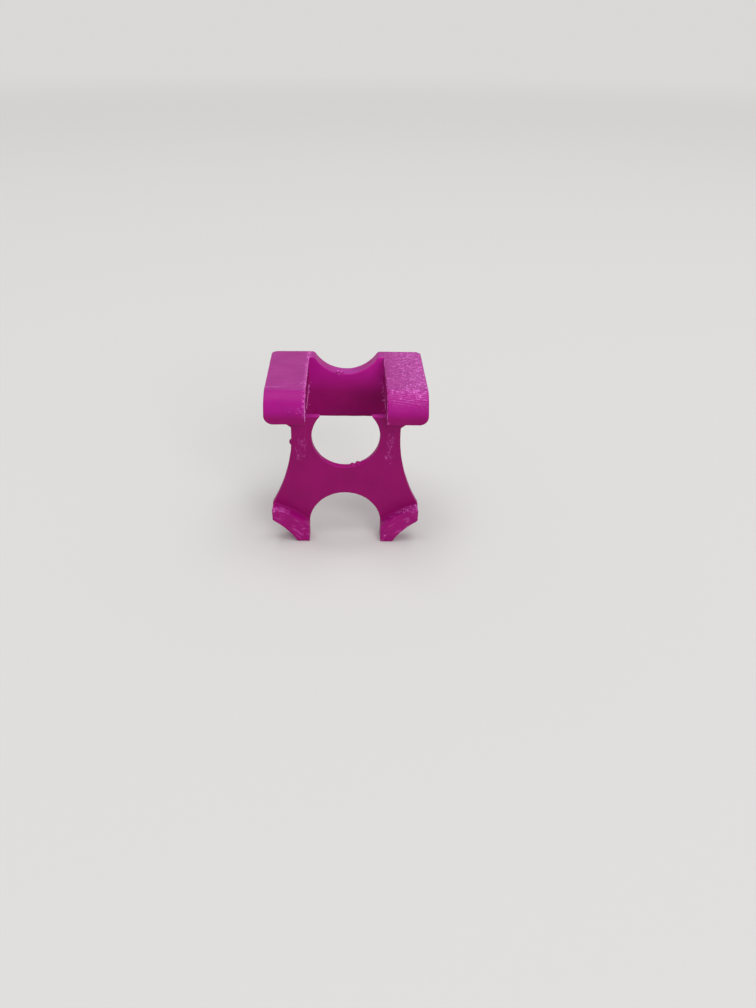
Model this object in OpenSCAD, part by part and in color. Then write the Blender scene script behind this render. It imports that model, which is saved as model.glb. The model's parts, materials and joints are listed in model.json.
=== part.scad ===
// Razor holder that hangs on two parallel shelf wires.
// Printed in one piece, roof side down, and drawn here as eight sections that meet face to face.
// X runs across the holder, Y towards the wall behind it and Z upwards.
// The origin is the centre of the front wire, in the middle of the holder.

/* [Shelf wires] */
// Diameter of the two wires
wire_d = 2.6; // [2.2:0.1:3]
// Distance from the front wire's centre to the rear wire's
wire_pitch = 16; // [15:0.5:18]
// Gap between a wire and its groove, all round
wire_play = 0.1; // [0.05:0.05:0.2]

/* [Hook blocks] */
// Width across both blocks
holder_w = 44; // [42:0.5:47]
// Clear width between the blocks
window_w = 22; // [20:0.5:23]
// Height of a block
block_h = 7.8; // [7:0.1:9]
// Material left above a wire
roof_t = 3.6; // [3:0.1:4.2]
// From the rear wire's centre to the back face
rear_reach = 8.8; // [7.5:0.1:10]
// From the front wire's centre to the tip of the nose
nose_reach = 8.3; // [7.8:0.1:9.5]
// Radius of the nose along the top front edge
nose_r = 6.4; // [4:0.1:6.6]
// Radius of each block's lower outer edge
lower_edge_r = 2.5; // [1:0.1:2.8]
// Radius of the two back corners, seen from above
back_corner_r = 2; // [1:0.1:3]

/* [Back wall] */
// Thickness of the wall that drops behind the rear wire
back_t = 4.8; // [3:0.1:5.5]
// Height of the back wall
back_h = 19; // [16:0.5:21]
// Radius of the scoop in its top edge
scoop_r = 10.9; // [9.5:0.1:11.5]
// Depth of the scoop
scoop_depth = 5.3; // [3:0.1:6]
// Rounding of the scoop's two lips
scoop_lip_r = 1.2; // [0.6:0.1:1.5]

/* [Front plate] */
// Thickness of the plate that hangs in front of the front wire
plate_t = 2; // [1.6:0.1:3]
// Radius of the round hole
hole_r = 9.5; // [8.5:0.1:10]
// From the top face down to the hole's centre
hole_drop = 14.1; // [13.2:0.1:15]
// Width across both legs at their narrowest place
waist_w = 30.2; // [28:0.1:32]
// From the top face down to the narrowest place
waist_drop = 13; // [12:0.1:14]
// Reach of the gusset beside each leg, under its block
gusset_w = 4.6; // [2:0.1:5]
// Height of that gusset
gusset_h = 3.4; // [2:0.1:4]
// From the top face down to where the legs join the head plate
leg_drop = 20; // [18.5:0.1:21]

/* [Cradle] */
// Width across both arms
arms_w = 42.3; // [41:0.1:46]
// How far the arms stand proud of the plate
arm_reach = 3.1; // [2:0.1:4]
// Clear width between the two arms, for the razor's neck
slot_w = 20.8; // [18:0.1:23]
// From the top face down to the crown of that slot
slot_crown_drop = 32; // [30:0.5:33.5]
// From the top face down to the arms' shoulders
shoulder_drop = 35.8; // [35:0.1:37]
// Rounding between an arm's shoulder and its outer side
shoulder_r = 0.5; // [0.3:0.1:1.5]
// From the top face down to the ledge's lower end, at the slot
ledge_foot_drop = 41.9; // [41:0.1:43]
// Radius of the ledge that the razor's head rests on
ledge_r = 24; // [14:1:50]
// Height of an arm's upright outer side
arm_side_h = 3.3; // [2.5:0.1:5]
// Chamfer under an arm's outer side
arm_chamfer = 0.6; // [0.2:0.1:1]
// From the top face down to the arms' feet
foot_drop = 47.0; // [46:0.1:50]
// Width of an arm's foot
foot_w = 3.6; // [2:0.1:5]
// Radius of the hollow under each arm
underarm_r = 20; // [12:0.5:40]

/* [Hidden] */
$fn = 96;
eps = 0.01;
past = 2;
groove_r = wire_d / 2 + wire_play;
top_z = groove_r + roof_t;
underside_z = top_z - block_h;
back_y = wire_pitch + rear_reach;
wall_front_y = back_y - back_t;
nose_y = -nose_reach;
plate_back_y = -groove_r;
plate_front_y = plate_back_y - plate_t;
arm_front_y = plate_front_y - arm_reach;
block_w = (holder_w - window_w) / 2;
split_z = top_z - leg_drop;
arm_top_z = top_z - shoulder_drop;
foot_z = top_z - foot_drop;
waist_z = top_z - waist_drop;
// The waist's circle runs from the narrowest place to the arm's outer side at its shoulder
waist_out = (arms_w - waist_w) / 2;
waist_r = (pow(shoulder_drop - waist_drop, 2) + pow(waist_out, 2)) / (2 * waist_out);
waist_x = waist_w / 2 + waist_r;
upper_colour = [0.66, 0.16, 0.52];
plate_colour = [0.53, 0.07, 0.36];

// Draws a flat outline, given in Y and Z, from X = from_x to X = to_x
module across(from_x, to_x) {
    translate([from_x, 0, 0])
        rotate([90, 0, 90])
            linear_extrude(to_x - from_x)
                children();
}

// Draws a flat outline, given in X and Z, from Y = from_y to Y = to_y
module through(from_y, to_y) {
    translate([0, to_y, 0])
        rotate([90, 0, 0])
            linear_extrude(to_y - from_y)
                children();
}

// A corner's square less its quarter circle, for rounding the corner at the origin, X and Y inwards
module corner_waste(r) {
    difference() {
        translate([-eps, -eps])
            square(r + eps);
        translate([r, r])
            circle(r);
    }
}

// Side view of a block: a bar whose top front edge is the round nose
module block_side() {
    difference() {
        translate([nose_y, underside_z])
            square([wall_front_y - nose_y, block_h]);
        translate([nose_y, top_z])
            mirror([0, 1])
                corner_waste(nose_r);
    }
}

// Front view of the right block: square above, rounded at its lower outer edge
module block_front() {
    difference() {
        translate([window_w / 2, underside_z])
            square([block_w, block_h]);
        translate([holder_w / 2, underside_z])
            mirror([1, 0])
                corner_waste(lower_edge_r);
    }
}

// Groove that drops over a wire: round at the roof and open below
module wire_groove(y) {
    across(window_w / 2 - past, holder_w / 2 + past)
        union() {
            translate([y, 0])
                circle(groove_r);
            translate([y - groove_r, underside_z - past])
                square([2 * groove_r, past - underside_z]);
        }
}

module right_block() {
    difference() {
        intersection() {
            across(window_w / 2, holder_w / 2)
                block_side();
            through(nose_y, wall_front_y)
                block_front();
        }
        wire_groove(0);
        wire_groove(wire_pitch);
    }
}

// Centre of the scoop's arc, and of the small arc that rounds its right lip
scoop_z = top_z - scoop_depth + scoop_r;
lip_z = top_z - scoop_lip_r;
lip_x = sqrt(pow(scoop_r + scoop_lip_r, 2) - pow(scoop_z - lip_z, 2));
lip_turn = atan2(scoop_z - lip_z, lip_x);

// Points of an arc from angle a to angle b
function arc(centre, r, a, b, steps) =
    [for (i = [0:steps]) centre + r * [cos(a + (b - a) * i / steps), sin(a + (b - a) * i / steps)]];

// The scoop in X and Z: its arc runs smoothly into the two lips
module scoop_outline() {
    polygon(concat([[-lip_x, top_z + past]],
                   arc([-lip_x, lip_z], scoop_lip_r, 90, lip_turn, 8),
                   arc([0, scoop_z], scoop_r, 180 + lip_turn + 2, 358 - lip_turn, 32),
                   arc([lip_x, lip_z], scoop_lip_r, 180 - lip_turn, 90, 8),
                   [[lip_x, top_z + past]]));
}

module back_wall_front_view() {
    difference() {
        translate([-holder_w / 2, top_z - back_h])
            square([holder_w, back_h]);
        scoop_outline();
    }
}

module back_wall_plan() {
    difference() {
        translate([-holder_w / 2, wall_front_y])
            square([holder_w, back_t]);
        for (side = [0, 1])
            mirror([side, 0])
                translate([holder_w / 2, back_y])
                    mirror([1, 0])
                        mirror([0, 1])
                            corner_waste(back_corner_r);
    }
}

// Round hole and side hollows of the front plate, in X and Z
module plate_cuts() {
    translate([0, top_z - hole_drop])
        circle(hole_r);
    for (side = [-1, 1])
        translate([side * waist_x, waist_z])
            circle(waist_r);
}

// Slot for the razor's neck: straight sides under a round crown
slot_spring_z = top_z - slot_crown_drop - slot_w / 2;

module neck_slot() {
    translate([0, slot_spring_z])
        circle(slot_w / 2);
    translate([-slot_w / 2, foot_z - past])
        square([slot_w, slot_spring_z - foot_z + past]);
}

// Centre of a circle of radius r through a and b, on the right of the way from a to b
function arc_centre(a, b, r) =
    let (way = b - a, half = norm(way) / 2)
    (a + b) / 2 + [way[1], -way[0]] / norm(way) * sqrt(r * r - half * half);

shoulder = [arms_w / 2 - shoulder_r, arm_top_z];
ledge_foot = [slot_w / 2, top_z - ledge_foot_drop];
side_foot = [arms_w / 2, shoulder[1] - shoulder_r - arm_side_h];
under_start = side_foot - [arm_chamfer, arm_chamfer];
arm_foot = [slot_w / 2 + foot_w, foot_z];

// Front view of the right arm: bowed ledge, small rounding at the shoulder, upright side and a
// hollow underneath
module arm_front() {
    difference() {
        union() {
            polygon([ledge_foot, shoulder, [shoulder[0], side_foot[1]], side_foot, under_start, arm_foot,
                     [slot_w / 2, foot_z]]);
            translate([shoulder[0], side_foot[1]])
                square([shoulder_r, arm_side_h]);
            translate([shoulder[0], arm_top_z - shoulder_r])
                circle(shoulder_r);
            intersection() {
                translate(arc_centre(ledge_foot, shoulder, ledge_r))
                    circle(ledge_r);
                translate([slot_w / 2, ledge_foot[1]])
                    square([shoulder[0] - slot_w / 2, arm_top_z - ledge_foot[1]]);
            }
        }
        translate(arc_centre(arm_foot, under_start, underarm_r))
            circle(underarm_r);
    }
}

// Front view of the plate above the right arm's ledge, up to its shoulder
module arm_backing() {
    difference() {
        polygon([[0, ledge_foot[1]], ledge_foot, shoulder - [0, shoulder_r],
                 [arms_w / 2, arm_top_z - shoulder_r], [arms_w / 2, arm_top_z], [0, arm_top_z]]);
        neck_slot();
    }
}

module right_arm() {
    through(arm_front_y, plate_back_y)
        arm_front();
    through(plate_front_y, plate_back_y)
        arm_backing();
}

// Front view of the right leg and of the gusset between it and its block
module leg_front() {
    difference() {
        translate([0, split_z])
            square([waist_x, underside_z - split_z]);
        plate_cuts();
    }
    polygon([[waist_w / 2, underside_z - gusset_h], [waist_w / 2 + gusset_w, underside_z],
             [waist_w / 2, underside_z]]);
}

module left_hook_block() {
    color(upper_colour)
        mirror([1, 0, 0])
            right_block();
}

module right_hook_block() {
    color(upper_colour)
        right_block();
}

module back_wall() {
    color(plate_colour)
        intersection() {
            through(wall_front_y, back_y)
                back_wall_front_view();
            translate([0, 0, top_z - back_h])
                linear_extrude(back_h)
                    back_wall_plan();
        }
}

module left_leg() {
    color(plate_colour)
        mirror([1, 0, 0])
            through(plate_front_y, plate_back_y)
                leg_front();
}

module right_leg() {
    color(plate_colour)
        through(plate_front_y, plate_back_y)
            leg_front();
}

module head_plate() {
    color(plate_colour)
        through(plate_front_y, plate_back_y)
            difference() {
                translate([-arms_w / 2, arm_top_z])
                    square([arms_w, split_z - arm_top_z]);
                plate_cuts();
                neck_slot();
            }
}

module left_cradle_arm() {
    color(plate_colour)
        mirror([1, 0, 0])
            right_arm();
}

module right_cradle_arm() {
    color(plate_colour)
        right_arm();
}

left_hook_block();
right_hook_block();
back_wall();
left_leg();
right_leg();
head_plate();
left_cradle_arm();
right_cradle_arm();
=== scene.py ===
import json
import math

import bmesh
import bpy
from mathutils import Euler, Matrix, Vector

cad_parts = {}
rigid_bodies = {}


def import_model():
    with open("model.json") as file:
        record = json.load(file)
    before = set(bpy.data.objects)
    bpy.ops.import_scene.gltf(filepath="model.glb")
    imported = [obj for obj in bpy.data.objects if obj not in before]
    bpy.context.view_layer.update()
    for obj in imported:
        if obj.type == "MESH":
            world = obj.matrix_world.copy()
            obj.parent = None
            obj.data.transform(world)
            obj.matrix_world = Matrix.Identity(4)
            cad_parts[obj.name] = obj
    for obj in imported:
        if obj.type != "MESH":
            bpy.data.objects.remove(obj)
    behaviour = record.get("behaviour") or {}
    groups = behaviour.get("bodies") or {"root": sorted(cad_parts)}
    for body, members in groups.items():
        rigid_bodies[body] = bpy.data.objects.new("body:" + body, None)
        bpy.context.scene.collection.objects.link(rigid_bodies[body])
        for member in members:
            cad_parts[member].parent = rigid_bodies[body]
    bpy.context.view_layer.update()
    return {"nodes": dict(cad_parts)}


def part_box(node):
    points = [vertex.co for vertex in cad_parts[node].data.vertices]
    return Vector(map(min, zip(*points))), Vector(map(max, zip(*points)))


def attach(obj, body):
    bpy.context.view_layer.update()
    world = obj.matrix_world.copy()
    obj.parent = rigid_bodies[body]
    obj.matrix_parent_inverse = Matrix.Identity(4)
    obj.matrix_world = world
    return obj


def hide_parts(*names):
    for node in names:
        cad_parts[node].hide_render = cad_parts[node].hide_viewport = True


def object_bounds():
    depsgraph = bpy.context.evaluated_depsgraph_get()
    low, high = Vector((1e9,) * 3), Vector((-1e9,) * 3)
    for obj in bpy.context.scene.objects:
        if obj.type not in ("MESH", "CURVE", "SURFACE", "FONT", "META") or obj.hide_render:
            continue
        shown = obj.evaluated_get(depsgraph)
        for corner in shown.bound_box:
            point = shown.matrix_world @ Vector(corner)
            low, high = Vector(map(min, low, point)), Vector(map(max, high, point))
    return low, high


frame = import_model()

mm = 0.001
nodes = frame["nodes"]
lowest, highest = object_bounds()
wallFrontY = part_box("back_wall")[0].y
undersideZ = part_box("left_hook_block")[0].z
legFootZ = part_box("left_leg")[0].z
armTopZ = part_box("left_cradle_arm")[1].z
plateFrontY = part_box("head_plate")[0].y
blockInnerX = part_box("right_hook_block")[0].x
roofZ = highest.z
plasticIor = 1.47
geometryOut = {"Geometry": "NodeSocketGeometry"}


# Short ways to build node trees

def addNode(tree, kind, settings=None, inputs=None):
    node = tree.nodes.new(kind)
    for name, value in (settings or {}).items():
        setattr(node, name, value)
    for name, value in (inputs or {}).items():
        if isinstance(value, bpy.types.NodeSocket):
            tree.links.new(value, node.inputs[name])
        else:
            node.inputs[name].default_value = value
    return node


def maths(tree, operation, a, b=0.0, c=0.0):
    inputs = {0: a, 1: b}
    if operation == "MULTIPLY_ADD":
        inputs[2] = c
    return addNode(tree, "ShaderNodeMath", {"operation": operation}, inputs).outputs[0]


def multiply(tree, *values):
    result = values[0]
    for value in values[1:]:
        result = maths(tree, "MULTIPLY", result, value)
    return result


def vectorMaths(tree, operation, a, b=(0, 0, 0), scale=None):
    inputs = {0: a, 1: b} if scale is None else {0: a, "Scale": scale}
    node = addNode(tree, "ShaderNodeVectorMath", {"operation": operation}, inputs)
    return node.outputs["Value" if operation in ("DISTANCE", "LENGTH", "DOT_PRODUCT") else "Vector"]


def combine(tree, x, y, z=0.0):
    return addNode(tree, "ShaderNodeCombineXYZ", inputs={"X": x, "Y": y, "Z": z}).outputs[0]


def separate(tree, vector):
    return addNode(tree, "ShaderNodeSeparateXYZ", inputs={0: vector}).outputs


def noiseMap(tree, where, scale, detail, roughness=0.5):
    return addNode(tree, "ShaderNodeTexNoise", inputs={
        "Vector": where, "Scale": scale, "Detail": detail, "Roughness": roughness}).outputs[0]


def remap(tree, value, low, high, toLow=0.0, toHigh=1.0, smooth=False):
    settings = {"interpolation_type": "SMOOTHSTEP"} if smooth else {}
    inputs = {"Value": value, "From Min": low, "From Max": high, "To Min": toLow, "To Max": toHigh}
    return addNode(tree, "ShaderNodeMapRange", settings, inputs).outputs[0]


def newTree(name, kind, sockets, outputs):
    tree = bpy.data.node_groups.new(name, kind)
    for label, (socketKind, value) in sockets.items():
        socket = tree.interface.new_socket(label, in_out="INPUT", socket_type=socketKind)
        if value is not None:
            socket.default_value = value
    for label, socketKind in outputs.items():
        tree.interface.new_socket(label, in_out="OUTPUT", socket_type=socketKind)
    return tree, tree.nodes.new("NodeGroupInput").outputs, tree.nodes.new("NodeGroupOutput").inputs


# Ends a geometry tree: real geometry with its plastic
def finishTree(tree, geometry, given, out):
    real = addNode(tree, "GeometryNodeRealizeInstances", inputs={0: geometry}).outputs[0]
    painted = addNode(tree, "GeometryNodeSetMaterial", inputs={
        "Geometry": real, "Material": given["Material"]}).outputs[0]
    tree.links.new(painted, out["Geometry"])


# Adds a tree as a modifier, sets its inputs and hands back the finished mesh as a new object
def bakeTree(obj, tree, values, name):
    modifier = obj.modifiers.new(tree.name, "NODES")
    modifier.node_group = tree
    for item in tree.interface.items_tree:
        if item.item_type == "SOCKET" and item.in_out == "INPUT" and item.name in values:
            modifier[item.identifier] = values[item.name]
    depsgraph = bpy.context.evaluated_depsgraph_get()
    mesh = bpy.data.meshes.new_from_object(obj.evaluated_get(depsgraph), depsgraph=depsgraph)
    mesh.name = name
    obj.modifiers.remove(modifier)
    made = bpy.data.objects.new(name, mesh)
    bpy.context.scene.collection.objects.link(made)
    return made


# Camera where the photograph was taken from

camera = {
    "place": (-0.5 * mm, -189.0 * mm, 88.7 * mm),
    "tilt": 57.2,       # degrees up from looking straight down
    "yaw": -0.2,
    "roll": 0.5,
    "lens": 27.0,
    "shiftX": 0.032,    # the holder stands left of the middle
    "nearest": 1 * mm,
}


def makeCamera(s):
    data = bpy.data.cameras.new("photoCamera")
    data.lens = s["lens"]
    data.shift_x = s["shiftX"]
    data.clip_start = s["nearest"]
    obj = bpy.data.objects.new("photoCamera", data)
    turn = Euler((math.radians(s["tilt"]), 0, math.radians(s["yaw"]))).to_matrix()
    turn = turn @ Matrix.Rotation(math.radians(s["roll"]), 3, "Z")
    obj.matrix_world = Matrix.LocRotScale(Vector(s["place"]), turn, None)
    bpy.context.scene.collection.objects.link(obj)
    bpy.context.scene.camera = obj


makeCamera(camera)
print("camera set")


# Light and floor

stage = {
    "floorColour": (0.70, 0.69, 0.67, 1),
    "floorRadius": 6.0,
    "floorSides": 96,
    "floorGap": 0.1 * mm,
    "floorRoughness": 0.8,
    "floorSpecular": 0.2,
    "fadeStart": 0.5,          # from here on the floor turns into the background
    "fadeEnd": 2.2,
    "worldColour": (0.86, 0.87, 0.90, 1),
    "worldStrength": 0.45,
    "backgroundColour": (0.70, 0.69, 0.68, 1),      # what the camera sees past the floor
    "lamps": {
        "overhead": {"place": (0.05, 0.10, 2.80), "aim": (0, 0, -0.01), "size": 2.4, "watts": 51.0},
        "front": {"place": (1.20, -2.80, 1.80), "aim": (0, 0, -0.02), "size": 2.0, "watts": 40.0},
    },
}


def makeLamps(s):
    for name, lamp in s["lamps"].items():
        data = bpy.data.lights.new(name, "AREA")
        data.size = lamp["size"]
        data.energy = lamp["watts"]
        obj = bpy.data.objects.new(name, data)
        place = Vector(lamp["place"])
        away = place - Vector(lamp["aim"])
        obj.matrix_world = Matrix.LocRotScale(place, away.to_track_quat("Z", "Y"), None)
        bpy.context.scene.collection.objects.link(obj)


# Soft light from all round; the camera and reflections see the plain pale background instead
def makeWorld(s):
    world = bpy.data.worlds.new("softWorld")
    world.use_nodes = True
    tree = world.node_tree
    background = tree.nodes["Background"]
    rays = addNode(tree, "ShaderNodeLightPath").outputs
    seen = maths(tree, "MAXIMUM", rays["Is Camera Ray"], maths(
        tree, "MAXIMUM", rays["Is Glossy Ray"], rays["Is Transmission Ray"]))
    colour = addNode(tree, "ShaderNodeMix", {"data_type": "RGBA"}, {
        "Factor": seen, 6: s["worldColour"], 7: s["backgroundColour"]}).outputs[2]
    tree.links.new(colour, background.inputs["Color"])
    tree.links.new(remap(tree, seen, 0.0, 1.0, s["worldStrength"], 1.0), background.inputs["Strength"])
    bpy.context.scene.world = world


# Round pale floor, seen through from below so that the underside can be looked at
def makeFloor(s):
    work = bmesh.new()
    bmesh.ops.create_circle(work, cap_ends=True, segments=s["floorSides"], radius=s["floorRadius"])
    bmesh.ops.translate(work, vec=(0, 0, lowest.z - s["floorGap"]), verts=work.verts)
    mesh = bpy.data.meshes.new("floor")
    work.to_mesh(mesh)
    work.free()
    floor = bpy.data.objects.new("floor", mesh)
    bpy.context.scene.collection.objects.link(floor)
    material = bpy.data.materials.new("paleFloor")
    material.use_nodes = True
    tree = material.node_tree
    shader = tree.nodes["Principled BSDF"]
    shader.inputs["Base Color"].default_value = s["floorColour"]
    shader.inputs["Roughness"].default_value = s["floorRoughness"]
    shader.inputs["Specular IOR Level"].default_value = s["floorSpecular"]
    clear = addNode(tree, "ShaderNodeBsdfTransparent").outputs[0]
    fromBelow = addNode(tree, "ShaderNodeNewGeometry").outputs["Backfacing"]
    glow = addNode(tree, "ShaderNodeEmission", inputs={"Color": s["backgroundColour"]}).outputs[0]
    away = vectorMaths(tree, "LENGTH", addNode(tree, "ShaderNodeTexCoord").outputs["Object"])
    rays = addNode(tree, "ShaderNodeLightPath").outputs
    seen = maths(tree, "MAXIMUM", rays["Is Camera Ray"], rays["Is Glossy Ray"])
    fade = maths(tree, "MULTIPLY", remap(tree, away, s["fadeStart"], s["fadeEnd"], smooth=True), seen)
    faded = addNode(tree, "ShaderNodeMixShader", inputs={0: fade, 1: shader.outputs[0], 2: glow}).outputs[0]
    both = addNode(tree, "ShaderNodeMixShader", inputs={0: fromBelow, 1: faded, 2: clear}).outputs[0]
    tree.links.new(both, tree.nodes["Material Output"].inputs["Surface"])
    mesh.materials.append(material)


makeLamps(stage)
makeWorld(stage)
makeFloor(stage)
bpy.context.scene.view_settings.view_transform = "Standard"
print("light and floor set")


# Shader groups that both plastics share

layerShape = {"wobblePerMetre": 260.0, "wobbleHeight": 0.05 * mm}
speckShape = {
    "bendScale": 2.6,
    "bendDetail": 3.0,
    "bend": 1.9,               # how far a speck's outline is pulled out of round
    "faintest": 0.25,
    "edge": (0.62, 0.30),      # from the speck's rim to its full middle
}


# Height of the printed layers: a ridge at each layer, a little uneven
def layerGroup():
    tree, given, out = newTree("printLayers", "ShaderNodeTree", {
        "Coordinate": ("NodeSocketVector", None),
        "Layer": ("NodeSocketFloat", 0.2 * mm),
    }, {"Height": "NodeSocketFloat"})
    height = separate(tree, given["Coordinate"])["Z"]
    wobble = noiseMap(tree, given["Coordinate"], layerShape["wobblePerMetre"], 2.0)
    uneven = maths(tree, "MULTIPLY_ADD", wobble, layerShape["wobbleHeight"], height)
    layersUp = maths(tree, "DIVIDE", uneven, given["Layer"])
    phase = maths(tree, "PINGPONG", layersUp, 0.5)
    tree.links.new(maths(tree, "SQRT", maths(tree, "MULTIPLY", phase, 2.0)), out["Height"])
    return tree


# Mask of small light bits of uneven outline; Stretch below 1 on an axis draws them out along it
def speckGroup():
    tree, given, out = newTree("lightSpecks", "ShaderNodeTree", {
        "Coordinate": ("NodeSocketVector", None),
        "Size": ("NodeSocketFloat", 0.5 * mm),
        "Stretch": ("NodeSocketVector", None),
        "Share": ("NodeSocketFloat", 0.1),
    }, {"Mask": "NodeSocketFloat"})
    scaled = vectorMaths(tree, "MULTIPLY", given["Coordinate"], given["Stretch"])
    unit = maths(tree, "DIVIDE", 1.0, given["Size"])
    grid = vectorMaths(tree, "SCALE", scaled, scale=unit)
    bend = addNode(tree, "ShaderNodeTexNoise", inputs={
        "Vector": grid, "Scale": speckShape["bendScale"], "Detail": speckShape["bendDetail"]}).outputs
    pull = vectorMaths(tree, "SCALE", bend["Color"], scale=speckShape["bend"])
    bent = vectorMaths(tree, "ADD", grid, pull)
    cells = addNode(tree, "ShaderNodeTexVoronoi", {"feature": "F1"}, {
        "Vector": bent, "Scale": 1.0, "Randomness": 1.0}).outputs
    chance = separate(tree, cells["Color"])
    chosen = maths(tree, "LESS_THAN", chance["X"], given["Share"])
    strength = remap(tree, chance["Y"], 0.0, 1.0, speckShape["faintest"], 1.0)
    spot = remap(tree, cells["Distance"], *speckShape["edge"], smooth=True)
    tree.links.new(multiply(tree, spot, chosen, strength), out["Mask"])
    return tree


printLayers = layerGroup()
lightSpecks = speckGroup()


# Plastic of the printed body, with light and shade painted into its colour: painted shade on upright faces,
# painted light on rounded ones, a hazy painted sheen where it lay on the bed

plastic = {
    # upright: darker copy of the plastic, painted shade; rounded: lighter copy, painted light
    "upright": (0.305, 0.0025, 0.128),
    "rounded": (0.385, 0.0030, 0.220),
    # painted sheen: paler, hazier copies of the plastic where it lay on the bed, paler still on the right
    "bedSideSheen": (0.360, 0.0200, 0.228),
    "bedSideSheenRight": (0.400, 0.0330, 0.275),
    "lit": (0.520, 0.0060, 0.300),          # painted light on the upper part of the back wall's front, and on the arms' fronts
    # stronger painted light on the wall's right part
    "litRight": (0.660, 0.0130, 0.385),
    # paler tone on the scoop crown's upward faces: painted sheen
    "scoopCrown": (0.392, 0.0130, 0.275),
    # colour of light specks and of painted highlights
    "speckAndHighlight": (0.840, 0.190, 0.690),
    "ledgeLitShare": 0.30,                      # how much of the rounded faces' painted light the arms' ledges have
    "wallLitShare": 0.95,
    "armLitShare": 0.22,
    "cloudSize": 6.0 * mm,
    "cloudSpan": (0.3, 0.7),                # part of the clouds' noise that counts
    "cloudShades": (0.92, 1.06),
    "cloudTilt": 0.02,                      # how far the clouds fray the edge of the roof's painted sheen
    "pitSpan": (0.52, 0.38),
    "pitShade": 0.76,
    "pitsPerMetre": 2600.0,
    # painted sparkle on the right roof's grain
    "bedSparkle": {"size": 0.36 * mm, "stretch": (0.7, 1.0, 1.0), "share": 0.48, "light": 0.92},
    # painted glints on upward faces of the right side
    "glints": {"size": 0.58 * mm, "stretch": (1.0, 0.8, 1.0), "share": 0.24, "light": 1.25},
    "legSpecks": {"size": 0.30 * mm, "stretch": (1.0, 1.0, 0.32), "share": 0.36, "light": 0.42},
    "legMiddle": (12.4 * mm, -12.5 * mm),   # X and Z of the scratched place on each leg
    "ledgeCentre": (27.2 * mm, -54.0 * mm),     # X and Z of the centre of each ledge's arc
    "streaks": {"along": 3.2 * mm, "perMetre": 2100.0, "span": (0.56, 0.72), "light": 0.30,
                "stretch": (1.0, 1.0, 0.02)},
    "layer": 0.2 * mm,
    "grainPerMetre": 2100.0,
    "layerRelief": 0.4,
    "grainRelief": (4.0, 0.15),    # on the right roof, and added everywhere
    "lightRelief": 0.3,
    "roughness": 0.40,
    "roughnessVary": 0.05,
    "specular": 0.13,
    "subsurface": 0.08,
    "subsurfaceRadius": (1.0, 0.15, 0.5),
    "subsurfaceDepth": 0.8 * mm,
    "bumpStrength": 0.9,
    "bumpDistance": 0.04 * mm,
}

# Where each tone begins and where it is full, on the holder
zones = {
    "wallFront": (wallFrontY - 1.2 * mm, wallFrontY - 0.4 * mm),
    "wallHeight": (-7.5 * mm, 1.5 * mm),
    "wallRight": (1 * mm, 10 * mm),
    "roof": (roofZ - 0.9 * mm, roofZ - 0.4 * mm),
    "right": (8 * mm, 20 * mm),
    "belowBlocks": (undersideZ - 0.6 * mm, undersideZ),
    "armFront": (plateFrontY - 0.4 * mm, plateFrontY - 1.4 * mm),
    "armTop": (armTopZ + 1.5 * mm, armTopZ + 0.3 * mm),
    "specksAcross": (blockInnerX - 2 * mm, 18 * mm),
    "glintsAcross": (blockInnerX - 1 * mm, 20 * mm),
    "legAcross": (1.9 * mm, 0.5 * mm),      # off the scratched place's middle
    "legHeight": (5.5 * mm, 2.5 * mm),
    "legFront": (wallFrontY - 2 * mm, plateFrontY + 1 * mm),
}

# The same for the way a face looks: its normal's Y for front, its Z for the others
facings = {
    "front": (-0.3, -0.7),
    "rounded": (-0.05, 0.42),
    "bedSheen": (0.972, 1.003),
    "scoopCrown": (0.88, 0.99),
    "specks": (0.75, 0.95),
    "glints": (0.70, 0.92),
}


def mixColour(tree, factor, a, b):
    node = addNode(tree, "ShaderNodeMix", {"data_type": "RGBA"}, {"Factor": factor})
    for socket, value in ((node.inputs[6], a), (node.inputs[7], b)):
        if isinstance(value, bpy.types.NodeSocket):
            tree.links.new(value, socket)
        else:
            socket.default_value = (*value, 1)
    return node.outputs[2]


def shadeColour(tree, value, colour):
    return addNode(tree, "ShaderNodeHueSaturation", inputs={"Value": value, "Color": colour}).outputs[0]


def speckMask(tree, where, kind, share):
    specks = addNode(tree, "ShaderNodeGroup", {"node_tree": lightSpecks}, {
        "Coordinate": where, "Size": kind["size"], "Stretch": kind["stretch"], "Share": share})
    return specks.outputs["Mask"]


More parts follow.
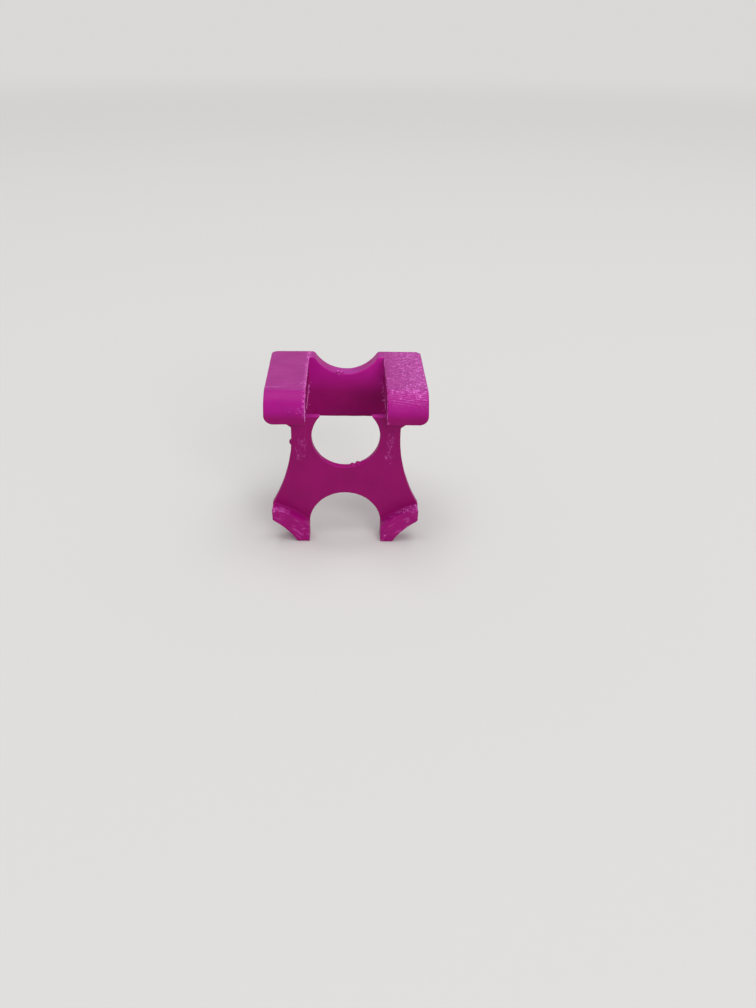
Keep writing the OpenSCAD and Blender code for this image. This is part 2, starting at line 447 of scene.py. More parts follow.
# Masks of the body's parts, from a point's place and the way its face looks
def findParts(tree, s, place, facing, clouds):
    def zone(axis, name, toLow=0.0, toHigh=1.0, smooth=False):
        return remap(tree, place[axis], *zones[name], toLow, toHigh, smooth)

    def looks(name, value=facing["Z"], smooth=False):
        return remap(tree, value, *facings[name], smooth=smooth)

    onWall = zone("Y", "wallFront")
    towardsFront = looks("front", facing["Y"])
    tilt = maths(tree, "MULTIPLY_ADD", clouds, s["cloudTilt"], facing["Z"])
    sideways = maths(tree, "ABSOLUTE", place["X"])
    fromLeg = maths(tree, "ABSOLUTE", maths(tree, "SUBTRACT", sideways, s["legMiddle"][0]))
    fromMiddle = maths(tree, "ABSOLUTE", maths(tree, "SUBTRACT", place["Z"], s["legMiddle"][1]))
    return {
        # painted light on rounded and upward faces, weaker below the blocks
        "rounded": multiply(tree, looks("rounded", smooth=True), zone("Z", "belowBlocks", s["ledgeLitShare"])),
        # the roof's painted sheen, its edge frayed by the clouds
        "bedSheen": multiply(tree, looks("bedSheen", tilt, smooth=True), zone("Z", "roof")),
        "right": zone("X", "right"),
        # painted light on the back wall's front, darker towards the bottom
        "wall": multiply(tree, onWall, towardsFront, zone("Z", "wallHeight", smooth=True)),
        "wallRight": multiply(tree, onWall, zone("X", "wallRight")),
        # painted sheen on the scoop crown
        "scoop": multiply(tree, onWall, looks("scoopCrown", smooth=True)),
        # painted light on the arms' fronts
        "arms": multiply(tree, zone("Y", "armFront"), zone("Z", "armTop")),
        "roughRoof": multiply(tree, looks("specks"), zone("X", "specksAcross", 0.0, s["bedSparkle"]["share"])),
        "glints": multiply(tree, looks("glints"), zone("X", "glintsAcross", 0.0, s["glints"]["share"])),
        "legs": multiply(tree, remap(tree, fromLeg, *zones["legAcross"]), towardsFront,
                         remap(tree, fromMiddle, *zones["legHeight"]), zone("Y", "legFront"),
                         s["legSpecks"]["share"]),
    }


# Paints light and shade into the colour: painted shade on upright faces, painted light on rounded ones, on
# the wall's upper front and on the arms' fronts, a painted sheen on the bed-side roof and painted shade in
# the right roof's pits
def paintParts(tree, s, parts, where, clouds):
    bedSheen = mixColour(tree, parts["right"], s["bedSideSheen"], s["bedSideSheenRight"])
    lit = mixColour(tree, parts["wallRight"], s["lit"], s["litRight"])
    litShare = maths(tree, "MAXIMUM", maths(tree, "MULTIPLY", parts["wall"], s["wallLitShare"]),
                     maths(tree, "MULTIPLY", parts["arms"], s["armLitShare"]))
    colour = mixColour(tree, parts["rounded"], s["upright"], s["rounded"])
    colour = mixColour(tree, litShare, colour, lit)
    colour = mixColour(tree, parts["scoop"], colour, s["scoopCrown"])
    colour = mixColour(tree, parts["bedSheen"], colour, bedSheen)
    colour = shadeColour(tree, remap(tree, clouds, *s["cloudSpan"], *s["cloudShades"]), colour)
    pits = noiseMap(tree, where, s["pitsPerMetre"], 1.0)
    pitShare = maths(tree, "MULTIPLY", remap(tree, pits, *s["pitSpan"]), parts["roughRoof"])
    return shadeColour(tree, remap(tree, pitShare, 0.0, s["bedSparkle"]["share"], 1.0, s["pitShade"]), colour)


# Streaks that follow the curve of the arms' ledges
def armStreaks(tree, s, place, arms):
    shape = s["streaks"]
    across = maths(tree, "SUBTRACT", s["ledgeCentre"][0], maths(tree, "ABSOLUTE", place["X"]))
    upwards = maths(tree, "SUBTRACT", place["Z"], s["ledgeCentre"][1])
    radius = vectorMaths(tree, "LENGTH", combine(tree, across, upwards))
    along = maths(tree, "MULTIPLY", maths(tree, "ARCTAN2", across, upwards), shape["along"])
    drawnOut = vectorMaths(tree, "MULTIPLY", combine(tree, radius, along, place["X"]), shape["stretch"])
    streaks = noiseMap(tree, drawnOut, shape["perMetre"], 2.0)
    return multiply(tree, remap(tree, streaks, *shape["span"]), arms, shape["light"])


# All that is lighter than the plastic round it: specks, painted sparkle on the grainy roof, painted glints,
# scratches and the painted highlights of the surface's own rough bits
def marksAndHighlights(tree, s, parts, place, where):
    bedSparkle = speckMask(tree, where, s["bedSparkle"], parts["roughRoof"])
    glints = speckMask(tree, where, s["glints"], parts["glints"])
    legSpecks = speckMask(tree, where, s["legSpecks"], parts["legs"])
    shine = maths(tree, "MAXIMUM", maths(tree, "MULTIPLY", bedSparkle, s["bedSparkle"]["light"]),
                  maths(tree, "MULTIPLY", glints, s["glints"]["light"]))
    drawn = maths(tree, "MULTIPLY_ADD", legSpecks, s["legSpecks"]["light"],
                  armStreaks(tree, s, place, parts["arms"]))
    # painted highlights that the surface tree noted on the rough bits
    rough = addNode(tree, "ShaderNodeAttribute", {"attribute_name": "lightBits"}).outputs["Fac"]
    light = maths(tree, "ADD", maths(tree, "ADD", shine, rough), drawn)
    return addNode(tree, "ShaderNodeClamp", inputs={0: light}).outputs[0]


def bodyRelief(tree, s, parts, where, light):
    layers = addNode(tree, "ShaderNodeGroup", {"node_tree": printLayers}, {
        "Coordinate": where, "Layer": s["layer"]}).outputs["Height"]
    grain = noiseMap(tree, where, s["grainPerMetre"], 3.0, 0.6)
    upright = maths(tree, "SUBTRACT", 1.0, parts["rounded"])
    layerRelief = multiply(tree, upright, s["layerRelief"], layers)
    grainHeight = maths(tree, "MULTIPLY_ADD", parts["roughRoof"], *s["grainRelief"])
    relief = maths(tree, "MULTIPLY_ADD", grain, grainHeight, layerRelief)
    return maths(tree, "MULTIPLY_ADD", light, s["lightRelief"], relief)


def makeBodyPlastic(s):
    material = bpy.data.materials.new("printedMagenta")
    material.use_nodes = True
    tree = material.node_tree
    shader = tree.nodes["Principled BSDF"]
    coordinate = addNode(tree, "ShaderNodeTexCoord").outputs
    where = coordinate["Object"]
    place = separate(tree, where)
    facing = separate(tree, coordinate["Normal"])
    clouds = noiseMap(tree, where, 1 / s["cloudSize"], 4.0)
    parts = findParts(tree, s, place, facing, clouds)
    light = marksAndHighlights(tree, s, parts, place, where)
    colour = mixColour(tree, light, paintParts(tree, s, parts, where, clouds), s["speckAndHighlight"])
    roughest = s["roughness"] + s["roughnessVary"]
    gloss = remap(tree, clouds, *s["cloudSpan"], roughest, s["roughness"] - s["roughnessVary"])
    bump = addNode(tree, "ShaderNodeBump", inputs={
        "Strength": s["bumpStrength"], "Distance": s["bumpDistance"],
        "Height": bodyRelief(tree, s, parts, where, light)})
    tree.links.new(colour, shader.inputs["Base Color"])
    tree.links.new(gloss, shader.inputs["Roughness"])
    tree.links.new(bump.outputs[0], shader.inputs["Normal"])
    shader.inputs["IOR"].default_value = plasticIor
    shader.inputs["Specular IOR Level"].default_value = s["specular"]
    shader.inputs["Subsurface Weight"].default_value = s["subsurface"]
    shader.inputs["Subsurface Radius"].default_value = s["subsurfaceRadius"]
    shader.inputs["Subsurface Scale"].default_value = s["subsurfaceDepth"]
    return material


# Thin strings and flash look paler than the body

stringPlastic = {
    "colour": (0.68, 0.110, 0.50),
    # colour of light specks and painted highlights on the strings
    "speckAndHighlight": (0.85, 0.35, 0.74),
    "specks": {"size": 0.5 * mm, "stretch": (1.0, 1.0, 1.0), "share": 0.5},
    "roughness": 0.35,
    "specular": 0.4,
    "bumpStrength": 0.4,
    "bumpDistance": 0.02 * mm,
}


def makeStringPlastic(s):
    material = bpy.data.materials.new("stringMagenta")
    material.use_nodes = True
    tree = material.node_tree
    shader = tree.nodes["Principled BSDF"]
    where = addNode(tree, "ShaderNodeTexCoord").outputs["Object"]
    specks = speckMask(tree, where, s["specks"], s["specks"]["share"])
    tree.links.new(mixColour(tree, specks, s["colour"], s["speckAndHighlight"]), shader.inputs["Base Color"])
    layers = addNode(tree, "ShaderNodeGroup", {"node_tree": printLayers}, {
        "Coordinate": where, "Layer": plastic["layer"]}).outputs["Height"]
    bump = addNode(tree, "ShaderNodeBump", inputs={
        "Strength": s["bumpStrength"], "Distance": s["bumpDistance"], "Height": layers}).outputs[0]
    tree.links.new(bump, shader.inputs["Normal"])
    shader.inputs["Roughness"].default_value = s["roughness"]
    shader.inputs["IOR"].default_value = plasticIor
    shader.inputs["Specular IOR Level"].default_value = s["specular"]
    return material


bodyPlastic = makeBodyPlastic(plastic)
threadPlastic = makeStringPlastic(stringPlastic)
print("plastics mixed")


# The printed body: one closed mesh from the CAD sections, softened and made uneven as a print is

body = {
    "voxel": 0.15 * mm,
    "softenRounds": 3,
    "mergeDistance": 0.001 * mm,
    "cutInset": 0.3 * mm,      # the cuts stay clear of the faces that lie in the same plane
    "sharpAngle": 60,          # degrees; edges that turn more are shown sharp
    "blobs": {                 # set drops of plastic: centre and radii in mm
        "legBlob": ((-15.2, -2.6, -10.9), (0.55, 0.7, 0.85)),
        "rimDrop1": ((1.95, -2.3, -18.4), (0.75, 0.9, 0.62)),
        "rimDrop2": ((3.55, -2.4, -17.95), (0.85, 0.95, 0.72)),
        "rimDrop3": ((5.1, -2.2, -17.35), (0.6, 0.8, 0.42)),
        "crownDrop1": ((-1.9, 20.5, 0.32), (0.8, 0.5, 0.28)),
        "crownDrop2": ((-2.7, 20.3, 0.62), (0.6, 0.4, 0.22)),
        "crownDrop3": ((-1.1, 20.6, 0.20), (0.6, 0.6, 0.24)),
    },
}

surface = {
    "Wave Height": 0.05 * mm,
    "Wave Size": 3.5 * mm,
    "Grain Height": 0.055 * mm,
    "Grain Size": 0.60 * mm,
    "Grain Side": 11 * mm,          # the rough first layer begins here
    "Lump Size": 0.45 * mm,
    "Bit Size": 0.36 * mm,
    "Nose Centre Y": -1.9 * mm,
    "Nose Centre Z": -1.4 * mm,
    "Nose Radius": 6.4 * mm,
    "Line Pitch": 0.68 * mm,
    "Line Slope": 0.14,
    "Line Height": 0.10 * mm,
    "Ridge Y": -1.1 * mm,           # where the flat roof ends on the left block
    "Ridge Height": 0.06 * mm,
}

# How much painted highlight each kind of roughness gets, and the seed and size of the noises that shape it
surfaceHighlight = {"grain": 0.35, "lines": 0.42, "ridge": 0.30, "edge": 0.75}
noiseSeeds = {"waves": 3.1, "grain": 8.4, "wobble": 1.7, "breaks": 6.2, "wander": 2.9, "patches": 4.4,
              "lumps": 5.7, "bits": 9.3}
noiseSizes = {"wobble": 2.2 * mm, "breaks": 1.4 * mm, "wander": 5 * mm, "patches": 2.4 * mm}
noiseSpans = {                 # part of each noise that counts
    "waves": (0.2, 0.8), "grain": (0.25, 0.75), "grainLight": (0.56, 0.70), "breaks": (0.30, 0.55),
    "patches": (0.46, 0.62), "lumps": (0.38, 0.68), "bits": (0.52, 0.63), "edgeBits": (0.50, 0.60),
}
surfaceZones = {
    "rightBlock": (0.0, 1.5 * mm),              # past the side where the grain begins
    "roofFacing": (0.35, 0.75),
    "grainAcross": (11 * mm, 19 * mm),
    "lineProfile": (0.22, 0.45),
    "noseStart": (0.5 * mm, 1.3 * mm),          # along the nose's arc
    "noseEnd": (6.5 * mm, 4.5 * mm),
    "noseFront": (2 * mm, 0.0),
    "noseSkin": (0.30 * mm, 0.12 * mm),
    "ridgeWidth": (0.45 * mm, 0.1 * mm),
    "ridgeAcross": (-10 * mm, -11 * mm),
    "ridgeFacing": (0.8, 0.95),
    "roughPlace": (1.0, 0.35),                  # shares of its radius
    "edgeWidth": (0.9 * mm, 0.15 * mm),
    "edgeFacing": (0.05, 0.3),
    "edgeHeight": (undersideZ, 0.0),
}
lineWobble = 0.45              # how far a layer line strays, as a share of the pitch
ridgeWander = 2.4 * mm
lightBitStretch = (0.6, 1.0, 1.0)

roughPlaces = {                # centre, radius and height in mm, painted highlight
    "scoopCrown": ((-1.8, 20.4, 0.6), 1.5, 0.11, 0.9),
    "leftRoofEdge": ((-11.4, 1.4, 5.0), 1.5, 0.08, 0.7),
    "leftRoofFar": ((-11.2, 14.5, 5.0), 1.1, 0.07, 0.5),
    "leftNoseGlint": ((-15.3, -7.75, 1.2), 1.1, 0.04, 0.35),
    "leftNoseEdge": ((-12.7, -7.75, 1.2), 1.2, 0.06, 0.55),
    "leftNoseHigh": ((-11.1, -4.3, 4.5), 0.8, 0.07, 0.6),
    "rightNoseStart": ((12.3, -3.0, 4.9), 0.7, 0.08, 1.0),
    "rightNoseEnd": ((19.8, -5.2, 4.1), 0.9, 0.08, 0.8),
    "rightCorner": ((11.2, -8.2, -2.2), 0.6, 0.06, 0.7),
    "leftShoulder": ((-20.0, -6.4, -31.0), 1.7, 0.13, 0.8),
    "rightShoulder": ((20.1, -6.4, -31.0), 1.3, 0.10, 0.5),
    "leftArmTip": ((-12.6, -6.5, -39.0), 0.55, 0.08, 1.0),
    "leftArmScratch": ((-12.3, -6.5, -37.5), 0.8, 0.05, 0.5),
    "leftArmMiddle": ((-18.3, -6.5, -33.6), 1.2, 0.05, 0.35),
    "rightArmTip": ((11.8, -6.5, -39.9), 0.5, 0.08, 0.9),
    "rightArmBits": ((18.2, -6.5, -34.4), 1.3, 0.05, 0.35),
    "rightArmMiddle": ((13.9, -6.5, -33.5), 0.7, 0.05, 0.35),
    "leftLegBits": ((-12.2, -3.4, -11.0), 1.5, 0.04, 0.22),
    "leftLegLow": ((-12.9, -3.4, -15.8), 0.9, 0.04, 0.25),
    "rightLegBits": ((12.1, -3.4, -10.0), 1.3, 0.04, 0.25),
    "rightLegLow": ((11.9, -3.4, -15.2), 0.8, 0.04, 0.50),
    "rightSlotEdge": ((10.5, -6.4, -34.4), 0.9, 0.07, 0.9),
    "holeRim": ((2.8, -2.4, -17.8), 1.6, 0.10, 0.05),
}


def cleanCopy(mesh):
    work = bmesh.new()
    work.from_mesh(mesh)
    bmesh.ops.remove_doubles(work, verts=work.verts, dist=body["mergeDistance"])
    return work


def addObject(work, name):
    mesh = bpy.data.meshes.new(name)
    work.to_mesh(mesh)
    work.free()
    obj = bpy.data.objects.new(name, mesh)
    bpy.context.scene.collection.objects.link(obj)
    return obj


def joinSections():
    copies = [addObject(cleanCopy(nodes[name].data), "section") for name in sorted(nodes)]
    for centre, radii in body["blobs"].values():
        work = bmesh.new()
        bmesh.ops.create_icosphere(work, subdivisions=3, radius=1.0)
        bmesh.ops.scale(work, vec=[r * mm for r in radii], verts=work.verts)
        bmesh.ops.translate(work, vec=[c * mm for c in centre], verts=work.verts)
        copies.append(addObject(work, "blob"))
    first, others = copies[0], copies[1:]
    for other in others:
        joined = first.modifiers.new("join", "BOOLEAN")
        joined.operation = "UNION"
        joined.solver = "EXACT"
        joined.object = other
    fine = first.modifiers.new("fine", "REMESH")
    fine.mode = "VOXEL"
    fine.voxel_size = body["voxel"]
    soft = first.modifiers.new("soft", "SMOOTH")
    soft.factor = 0.5
    soft.iterations = body["softenRounds"]
    return first, others


# One point for each rough place, with its radius, height and painted highlight
def makeRoughPoints():
    mesh = bpy.data.meshes.new("roughPoints")
    mesh.from_pydata([[c * mm for c in place[0]] for place in roughPlaces.values()], [], [])
    columns = (("roughRadius", mm), ("roughHeight", mm), ("roughLight", 1.0))
    for column, (name, unit) in enumerate(columns, start=1):
        values = mesh.attributes.new(name, "FLOAT", "POINT").data
        for item, place in zip(values, roughPlaces.values()):
            item.value = place[column] * unit
    obj = bpy.data.objects.new("roughPoints", mesh)
    bpy.context.scene.collection.objects.link(obj)
    return obj


def noiseAt(tree, place, size, seed, detail=1.0):
    inputs = {"Vector": place, "W": seed, "Scale": maths(tree, "DIVIDE", 1.0, size), "Detail": detail}
    return addNode(tree, "ShaderNodeTexNoise", {"noise_dimensions": "4D"}, inputs).outputs


# Grainy first layer on the right block's roof
def addGrain(tree, given, place, point, facing, onRight, shift):
    grain = noiseAt(tree, place, given["Grain Size"], noiseSeeds["grain"])[0]
    onRoof = multiply(tree, onRight, remap(tree, facing["Z"], *surfaceZones["roofFacing"], smooth=True))
    further = remap(tree, point["X"], *surfaceZones["grainAcross"], 0.3, 1.0)
    rise = multiply(tree, remap(tree, grain, *noiseSpans["grain"], -1, 1), onRoof, further)
    shift = maths(tree, "MULTIPLY_ADD", rise, given["Grain Height"], shift)
    # painted highlight on the grain's high parts
    bright = remap(tree, grain, *noiseSpans["grainLight"])
    light = multiply(tree, bright, onRoof, further, surfaceHighlight["grain"])
    return shift, light


# Fan of broken layer lines across the right nose
def addNoseLines(tree, given, place, point, onRight, shift, light):
    backwards = maths(tree, "SUBTRACT", given["Nose Centre Y"], point["Y"])
    upwards = maths(tree, "SUBTRACT", point["Z"], given["Nose Centre Z"])
    around = multiply(tree, maths(tree, "ARCTAN2", backwards, upwards), given["Nose Radius"])
    slope = maths(tree, "MULTIPLY", point["X"], given["Line Slope"])
    wobble = noiseAt(tree, place, noiseSizes["wobble"], noiseSeeds["wobble"])[0]
    along = maths(tree, "DIVIDE", maths(tree, "SUBTRACT", around, slope), given["Line Pitch"])
    turns = maths(tree, "MULTIPLY_ADD", wobble, lineWobble, along)
    lines = remap(tree, maths(tree, "PINGPONG", turns, 0.5), *surfaceZones["lineProfile"], smooth=True)
    breaks = noiseAt(tree, place, noiseSizes["breaks"], noiseSeeds["breaks"])[0]
    broken = remap(tree, breaks, *noiseSpans["breaks"], 0.25, 1.0)
    fromAxis = vectorMaths(tree, "LENGTH", combine(tree, backwards, upwards))
    inwards = maths(tree, "SUBTRACT", given["Nose Radius"], fromAxis)
    onNose = multiply(tree, onRight, remap(tree, around, *surfaceZones["noseStart"]),
                      remap(tree, around, *surfaceZones["noseEnd"]),
                      remap(tree, point["Y"], *surfaceZones["noseFront"]),
                      remap(tree, inwards, *surfaceZones["noseSkin"]))
    lineShare = multiply(tree, lines, onNose, broken)
    shift = maths(tree, "MULTIPLY_ADD", lineShare, given["Line Height"], shift)
    # painted highlight along the nose lines
    light = maths(tree, "MULTIPLY_ADD", lineShare, surfaceHighlight["lines"], light)
    return shift, light


# Wavy ridge across the left block, where its roof turns into the nose
def addRidge(tree, given, place, point, facing, shift, light):
    sway = noiseAt(tree, place, noiseSizes["wander"], noiseSeeds["wander"])[0]
    wander = multiply(tree, maths(tree, "SUBTRACT", sway, 0.5), ridgeWander)
    offRidge = maths(tree, "SUBTRACT", maths(tree, "SUBTRACT", point["Y"], given["Ridge Y"]), wander)
    ridge = remap(tree, maths(tree, "ABSOLUTE", offRidge), *surfaceZones["ridgeWidth"], smooth=True)
    patches = noiseAt(tree, place, noiseSizes["patches"], noiseSeeds["patches"])[0]
    patchy = remap(tree, patches, *noiseSpans["patches"])
    onLeft = multiply(tree, remap(tree, point["X"], *surfaceZones["ridgeAcross"]),
                      remap(tree, facing["Z"], *surfaceZones["ridgeFacing"]))
    ridgeShare = multiply(tree, ridge, onLeft)
    shift = maths(tree, "MULTIPLY_ADD", ridgeShare, given["Ridge Height"], shift)
    # painted highlight on the ridge, in patches
    light = maths(tree, "MULTIPLY_ADD", multiply(tree, ridgeShare, patchy), surfaceHighlight["ridge"], light)
    return shift, light


# Lumps and painted highlight bits round each rough place, and painted highlight bits along the left block's
# inner edge
def addRoughPlaces(tree, given, place, point, facing, shift, light):
    info = addNode(tree, "GeometryNodeObjectInfo", inputs={"Object": given["Rough Places"]})
    points = info.outputs["Geometry"]
    nearest = addNode(tree, "GeometryNodeSampleNearest", {"domain": "POINT"}, {"Geometry": points}).outputs[0]

    def fromPoint(value, kind="FLOAT"):
        return addNode(tree, "GeometryNodeSampleIndex", {"data_type": kind, "domain": "POINT"}, {
            "Geometry": points, "Value": value, "Index": nearest}).outputs[0]

    def noted(name):
        value = addNode(tree, "GeometryNodeInputNamedAttribute", {"data_type": "FLOAT"}, {"Name": name})
        return fromPoint(value.outputs[0])

    away = vectorMaths(tree, "DISTANCE", place, fromPoint(place, "FLOAT_VECTOR"))
    share = maths(tree, "DIVIDE", away, noted("roughRadius"))
    near = remap(tree, share, *surfaceZones["roughPlace"], smooth=True)
    lumps = noiseAt(tree, place, given["Lump Size"], noiseSeeds["lumps"])[0]
    rise = remap(tree, lumps, *noiseSpans["lumps"], -0.2, 1.0)
    shift = maths(tree, "ADD", shift, multiply(tree, rise, near, noted("roughHeight")))
    drawnOut = vectorMaths(tree, "MULTIPLY", place, lightBitStretch)
    bits = noiseAt(tree, drawnOut, given["Bit Size"], noiseSeeds["bits"])[0]
    # painted highlight on the rough places' bits
    bitLight = multiply(tree, remap(tree, bits, *noiseSpans["bits"]), near, noted("roughLight"))
    light = maths(tree, "ADD", light, bitLight)

    fromEdge = maths(tree, "ABSOLUTE", maths(tree, "ADD", point["X"], given["Grain Side"]))
    besideEdge = multiply(tree, remap(tree, fromEdge, *surfaceZones["edgeWidth"]),
                          remap(tree, facing["Z"], *surfaceZones["edgeFacing"]),
                          remap(tree, point["Z"], *surfaceZones["edgeHeight"]))
    edgeBits = remap(tree, bits, *noiseSpans["edgeBits"])
    # painted highlight along the left block's inner edge
    edgeLight = multiply(tree, edgeBits, besideEdge, surfaceHighlight["edge"])
    light = maths(tree, "MINIMUM", maths(tree, "ADD", light, edgeLight), 1.0)
    return shift, light


# Moves each point along its normal and notes where the rough surface gets painted highlights
def surfaceTree():
    sockets = {"Geometry": ("NodeSocketGeometry", None), "Material": ("NodeSocketMaterial", None),
               "Rough Places": ("NodeSocketObject", None)}
    for label, value in surface.items():
        sockets[label] = ("NodeSocketFloat", value)
    tree, given, out = newTree("printedSurface", "GeometryNodeTree", sockets, geometryOut)
    place = addNode(tree, "GeometryNodeInputPosition").outputs[0]
    normal = addNode(tree, "GeometryNodeInputNormal").outputs[0]
    facing = separate(tree, normal)
    point = separate(tree, place)
    pastSide = maths(tree, "SUBTRACT", point["X"], given["Grain Side"])
    onRight = remap(tree, pastSide, *surfaceZones["rightBlock"])
    waves = noiseAt(tree, place, given["Wave Size"], noiseSeeds["waves"], 1.5)[0]
    shift = multiply(tree, remap(tree, waves, *noiseSpans["waves"], -1, 1), given["Wave Height"])
    shift, light = addGrain(tree, given, place, point, facing, onRight, shift)
    shift, light = addNoseLines(tree, given, place, point, onRight, shift, light)
    shift, light = addRidge(tree, given, place, point, facing, shift, light)
    shift, light = addRoughPlaces(tree, given, place, point, facing, shift, light)
    marked = addNode(tree, "GeometryNodeStoreNamedAttribute", {"data_type": "FLOAT", "domain": "POINT"}, {
        "Geometry": given["Geometry"], "Name": "lightBits", "Value": light}).outputs[0]
    offset = vectorMaths(tree, "SCALE", normal, scale=shift)
    moved = addNode(tree, "GeometryNodeSetPosition", inputs={"Geometry": marked, "Offset": offset}).outputs[0]
    finishTree(tree, moved, given, out)
    return tree


def makeBody():
    whole, others = joinSections()
    points = makeRoughPoints()
    values = {**surface, "Material": bodyPlastic, "Rough Places": points}
    printed = bakeTree(whole, surfaceTree(), values, "printedBody")
    for spare in [whole, points, *others]:
        bpy.data.objects.remove(spare)
    return printed


# Cuts the body where its sections meet, so that each CAD node has a closed piece of its own
def cutBody(printed):
    inset = body["cutInset"]
    work = bmesh.new()
    work.from_mesh(printed.data)
    cuts = [
        ((0, wallFrontY - inset, 0), (0, 1, 0)),
        ((0, 0, undersideZ - inset), (0, 0, 1)),
        ((0, 0, legFootZ), (0, 0, 1)),
        ((0, 0, armTopZ + inset), (0, 0, 1)),
    ]
    for point, direction in cuts:
        kept = work.verts[:] + work.edges[:] + work.faces[:]
        if direction[2]:
            kept = [part for part in kept if frontOfWall(part, wallFrontY - inset)]
        found = bmesh.ops.bisect_plane(work, geom=kept, plane_co=point, plane_no=direction)
        edges = [part for part in found["geom_cut"] if isinstance(part, bmesh.types.BMEdge)]
        bmesh.ops.split_edges(work, edges=edges)
    rims = [edge for edge in work.edges if edge.is_boundary]
    caps = bmesh.ops.holes_fill(work, edges=rims, sides=0)["faces"]
    bmesh.ops.triangulate(work, faces=caps)
    bmesh.ops.recalc_face_normals(work, faces=work.faces[:])
    work.to_mesh(printed.data)
    work.free()


def frontOfWall(part, edgeY):
    corners = [part] if isinstance(part, bmesh.types.BMVert) else part.verts
    return all(corner.co.y < edgeY + body["mergeDistance"] for corner in corners)


def separateLoose(obj):
    before = set(bpy.data.objects)
    for chosen in bpy.context.selected_objects:
        chosen.select_set(False)
    bpy.context.view_layer.objects.active = obj
    obj.select_set(True)
    bpy.ops.mesh.separate(type="LOOSE")
    return [obj] + [o for o in bpy.data.objects if o not in before]


sectionNames = {
    "left_hook_block": "leftHookBlock",
    "right_hook_block": "rightHookBlock",
    "back_wall": "backWall",
    "left_leg": "leftLeg",
    "right_leg": "rightLeg",
    "head_plate": "headPlate",
    "left_cradle_arm": "leftCradleArm",
    "right_cradle_arm": "rightCradleArm",
}


def nameSections(loose):
    for node, name in sectionNames.items():
        low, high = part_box(node)
        middle = (low + high) / 2

        def distance(obj):
            corners = [Vector(c) for c in obj.bound_box]
            return ((corners[0] + corners[6]) / 2 - middle).length

        obj = min(loose, key=distance)
        loose.remove(obj)
        obj.name = name
        obj.data.name = name
        obj.data.materials.clear()
        obj.data.materials.append(bodyPlastic)
        obj.data.shade_smooth()
        obj.data.set_sharp_from_angle(angle=math.radians(body["sharpAngle"]))
        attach(obj, "root")
        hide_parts(node)
        print(name, len(obj.data.polygons), "faces")


printed = makeBody()
print("body printed:", len(printed.data.polygons), "faces")
cutBody(printed)
loosePieces = separateLoose(printed)
print("cut into", len(loosePieces), "pieces")
nameSections(loosePieces)
for crumb in loosePieces:
    print("crumb of", len(crumb.data.polygons), "faces removed")
    bpy.data.objects.remove(crumb)


# Flash along the blocks' inner edges, and the loose strings that the nozzle left there

flash = {
    "Spacing": 0.16 * mm,
    "Radius": 0.19 * mm,
    "Wander": 0.08 * mm,
    "Gaps": 0.31,              # noise below this leaves hardly any flash
    "Seed": 2.0,
}
rightFlash = {"Radius": 0.10 * mm, "Gaps": 0.44}    # the right block's edge came out cleaner
flashShape = {
    "sides": 6,
    "swaySize": 0.7 * mm,
    "swellSize": 0.9 * mm,
    "fullAt": 0.68,            # noise above this gives the full radius
    "thinnest": 0.12,          # share of the radius left in the gaps
    "seedStep": 5.0,
}

whiskers = {
    "Spacing": 2.1 * mm,
    "Length": 1.0 * mm,
    "Thickness": 0.065 * mm,
    "Seed": 7,
}
whiskerShape = {
    "sides": 5,
    "tip": 0.35,               # thickness of the tip as a share of the root's
    "lengths": (0.35, 1.2),
    "bend": (-55, 55),         # degrees along the edge
    "lean": (75, 150),         # degrees from upright, into the window
    "stray": ((-0.05 * mm, -1.0 * mm, -0.1 * mm), (0.05 * mm, 1.0 * mm, 0.3 * mm)),
}


def noseArc(x, fromDegrees, toDegrees, steps):
    points = []
    for step in range(steps + 1):
        angle = math.radians(fromDegrees + (toDegrees - fromDegrees) * step / steps)
        points.append((x, surface["Nose Centre Y"] - surface["Nose Radius"] * math.sin(angle),
                       surface["Nose Centre Z"] + surface["Nose Radius"] * math.cos(angle)))
    return points


# The upper and the lower inner edge of one block, as the flash and the whiskers follow them
def innerEdges(side):
    x = side * (blockInnerX - 0.03 * mm)
    top = [(x, wallFrontY - 0.5 * mm, roofZ), (x, 0, roofZ), *noseArc(x, 10, 92, 12)]
    foot = [(x, wallFrontY - 1 * mm, undersideZ + 0.05 * mm), (x, 2 * mm, undersideZ + 0.05 * mm)]
    return [top, foot]


def makeGuide(paths):
    work = bmesh.new()
    for path in paths:
        verts = [work.verts.new(p) for p in path]
        for a, b in zip(verts, verts[1:]):
            work.edges.new((a, b))
    return addObject(work, "guide")


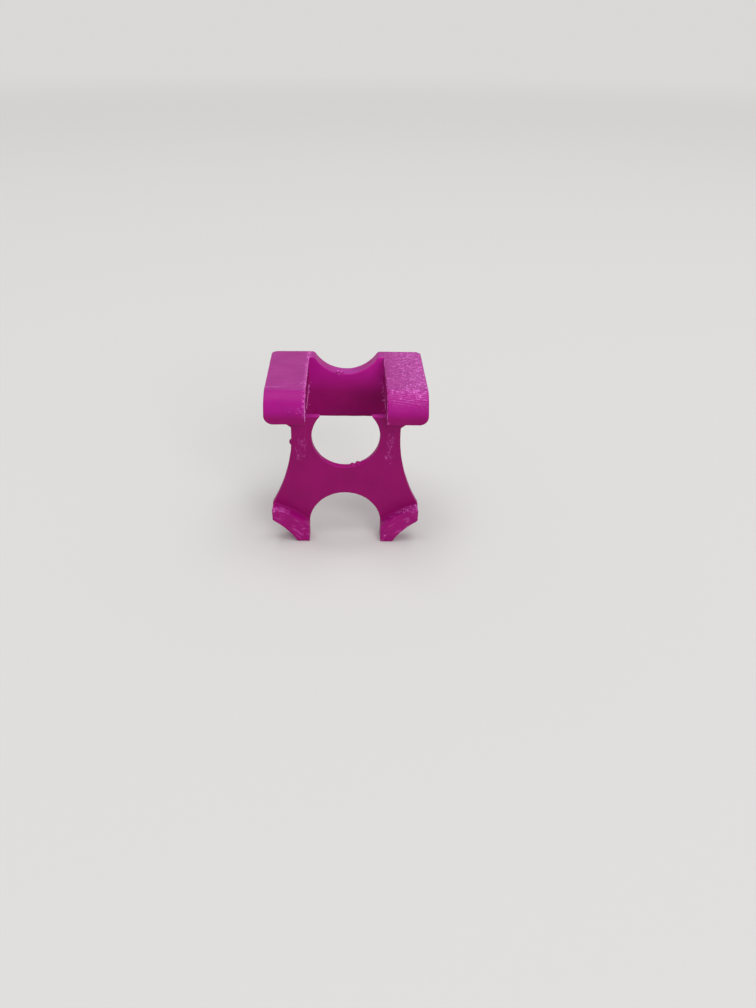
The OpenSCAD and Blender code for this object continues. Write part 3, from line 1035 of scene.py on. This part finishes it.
def flashTree():
    sockets = {"Geometry": ("NodeSocketGeometry", None), "Material": ("NodeSocketMaterial", None)}
    for label, value in flash.items():
        sockets[label] = ("NodeSocketFloat", value)
    tree, given, out = newTree("edgeFlash", "GeometryNodeTree", sockets, geometryOut)
    line = addNode(tree, "GeometryNodeMeshToCurve", inputs={0: given["Geometry"]}).outputs[0]
    even = addNode(tree, "GeometryNodeResampleCurve", {"mode": "LENGTH"}, {
        "Curve": line, "Length": given["Spacing"]}).outputs[0]
    place = addNode(tree, "GeometryNodeInputPosition").outputs[0]
    sway = noiseAt(tree, place, flashShape["swaySize"], given["Seed"], 2.0)["Color"]
    centred = vectorMaths(tree, "SUBTRACT", sway, (0.5, 0.5, 0.5))
    offset = vectorMaths(tree, "SCALE", centred, scale=maths(tree, "MULTIPLY", given["Wander"], 4.0))
    moved = addNode(tree, "GeometryNodeSetPosition", inputs={"Geometry": even, "Offset": offset}).outputs[0]
    otherSeed = maths(tree, "ADD", given["Seed"], flashShape["seedStep"])
    swell = noiseAt(tree, place, flashShape["swellSize"], otherSeed, 2.0)[0]
    width = remap(tree, swell, given["Gaps"], flashShape["fullAt"], flashShape["thinnest"], 1.0)
    profile = addNode(tree, "GeometryNodeCurvePrimitiveCircle", inputs={
        "Resolution": flashShape["sides"], "Radius": 1.0}).outputs[0]
    tube = addNode(tree, "GeometryNodeCurveToMesh", inputs={
        "Curve": moved, "Profile Curve": profile, "Scale": maths(tree, "MULTIPLY", width, given["Radius"]),
        "Fill Caps": True}).outputs[0]
    finishTree(tree, tube, given, out)
    return tree


def randomValue(tree, low, high, seed, kind="FLOAT"):
    lowSocket, highSocket, result = (0, 1, 0) if kind == "FLOAT_VECTOR" else (2, 3, 1)
    made = addNode(tree, "FunctionNodeRandomValue", {"data_type": kind}, {
        lowSocket: low, highSocket: high, "Seed": seed})
    return made.outputs[result]


def whiskerTree():
    sockets = {"Geometry": ("NodeSocketGeometry", None), "Material": ("NodeSocketMaterial", None),
               "Side": ("NodeSocketFloat", 1.0)}
    for label, value in whiskers.items():
        sockets[label] = ("NodeSocketInt" if label == "Seed" else "NodeSocketFloat", value)
    tree, given, out = newTree("looseWhiskers", "GeometryNodeTree", sockets, geometryOut)
    seeds = [given["Seed"]] + [maths(tree, "ADD", given["Seed"], step) for step in (1, 2, 3)]
    line = addNode(tree, "GeometryNodeMeshToCurve", inputs={0: given["Geometry"]}).outputs[0]
    roots = addNode(tree, "GeometryNodeCurveToPoints", {"mode": "LENGTH"}, {
        "Curve": line, "Length": given["Spacing"]}).outputs[0]
    stray = randomValue(tree, *whiskerShape["stray"], seeds[0], "FLOAT_VECTOR")
    moved = addNode(tree, "GeometryNodeSetPosition", inputs={"Geometry": roots, "Offset": stray}).outputs[0]
    hair = addNode(tree, "GeometryNodeMeshCone", inputs={
        "Vertices": whiskerShape["sides"],
        "Radius Top": maths(tree, "MULTIPLY", given["Thickness"], whiskerShape["tip"]),
        "Radius Bottom": given["Thickness"], "Depth": given["Length"]}).outputs[0]
    bent = randomValue(tree, *[math.radians(a) for a in whiskerShape["bend"]], seeds[1])
    lean = randomValue(tree, *[math.radians(a) for a in whiskerShape["lean"]], seeds[2])
    size = randomValue(tree, *whiskerShape["lengths"], seeds[3])
    turn = combine(tree, bent, maths(tree, "MULTIPLY", lean, given["Side"]))
    grown = addNode(tree, "GeometryNodeInstanceOnPoints", inputs={
        "Points": moved, "Instance": hair, "Rotation": turn, "Scale": combine(tree, 1.0, 1.0, size)})
    finishTree(tree, grown.outputs[0], given, out)
    return tree


def finishPiece(obj):
    obj.data.shade_smooth()
    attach(obj, "root")
    print(obj.name, len(obj.data.polygons), "faces")


edgeFlash = flashTree()
looseWhiskers = whiskerTree()
for name, side, flashValues in (("left", -1, flash), ("right", 1, {**flash, **rightFlash})):
    edges = innerEdges(side)
    guide = makeGuide(edges)
    values = {**flashValues, "Material": threadPlastic, "Seed": flash["Seed"] + side}
    finishPiece(bakeTree(guide, edgeFlash, values, name + "EdgeFlash"))
    bpy.data.objects.remove(guide)
    guide = makeGuide(edges[1:])
    values = {**whiskers, "Material": threadPlastic, "Side": -float(side), "Seed": whiskers["Seed"] + side}
    finishPiece(bakeTree(guide, looseWhiskers, values, name + "Whiskers"))
    bpy.data.objects.remove(guide)
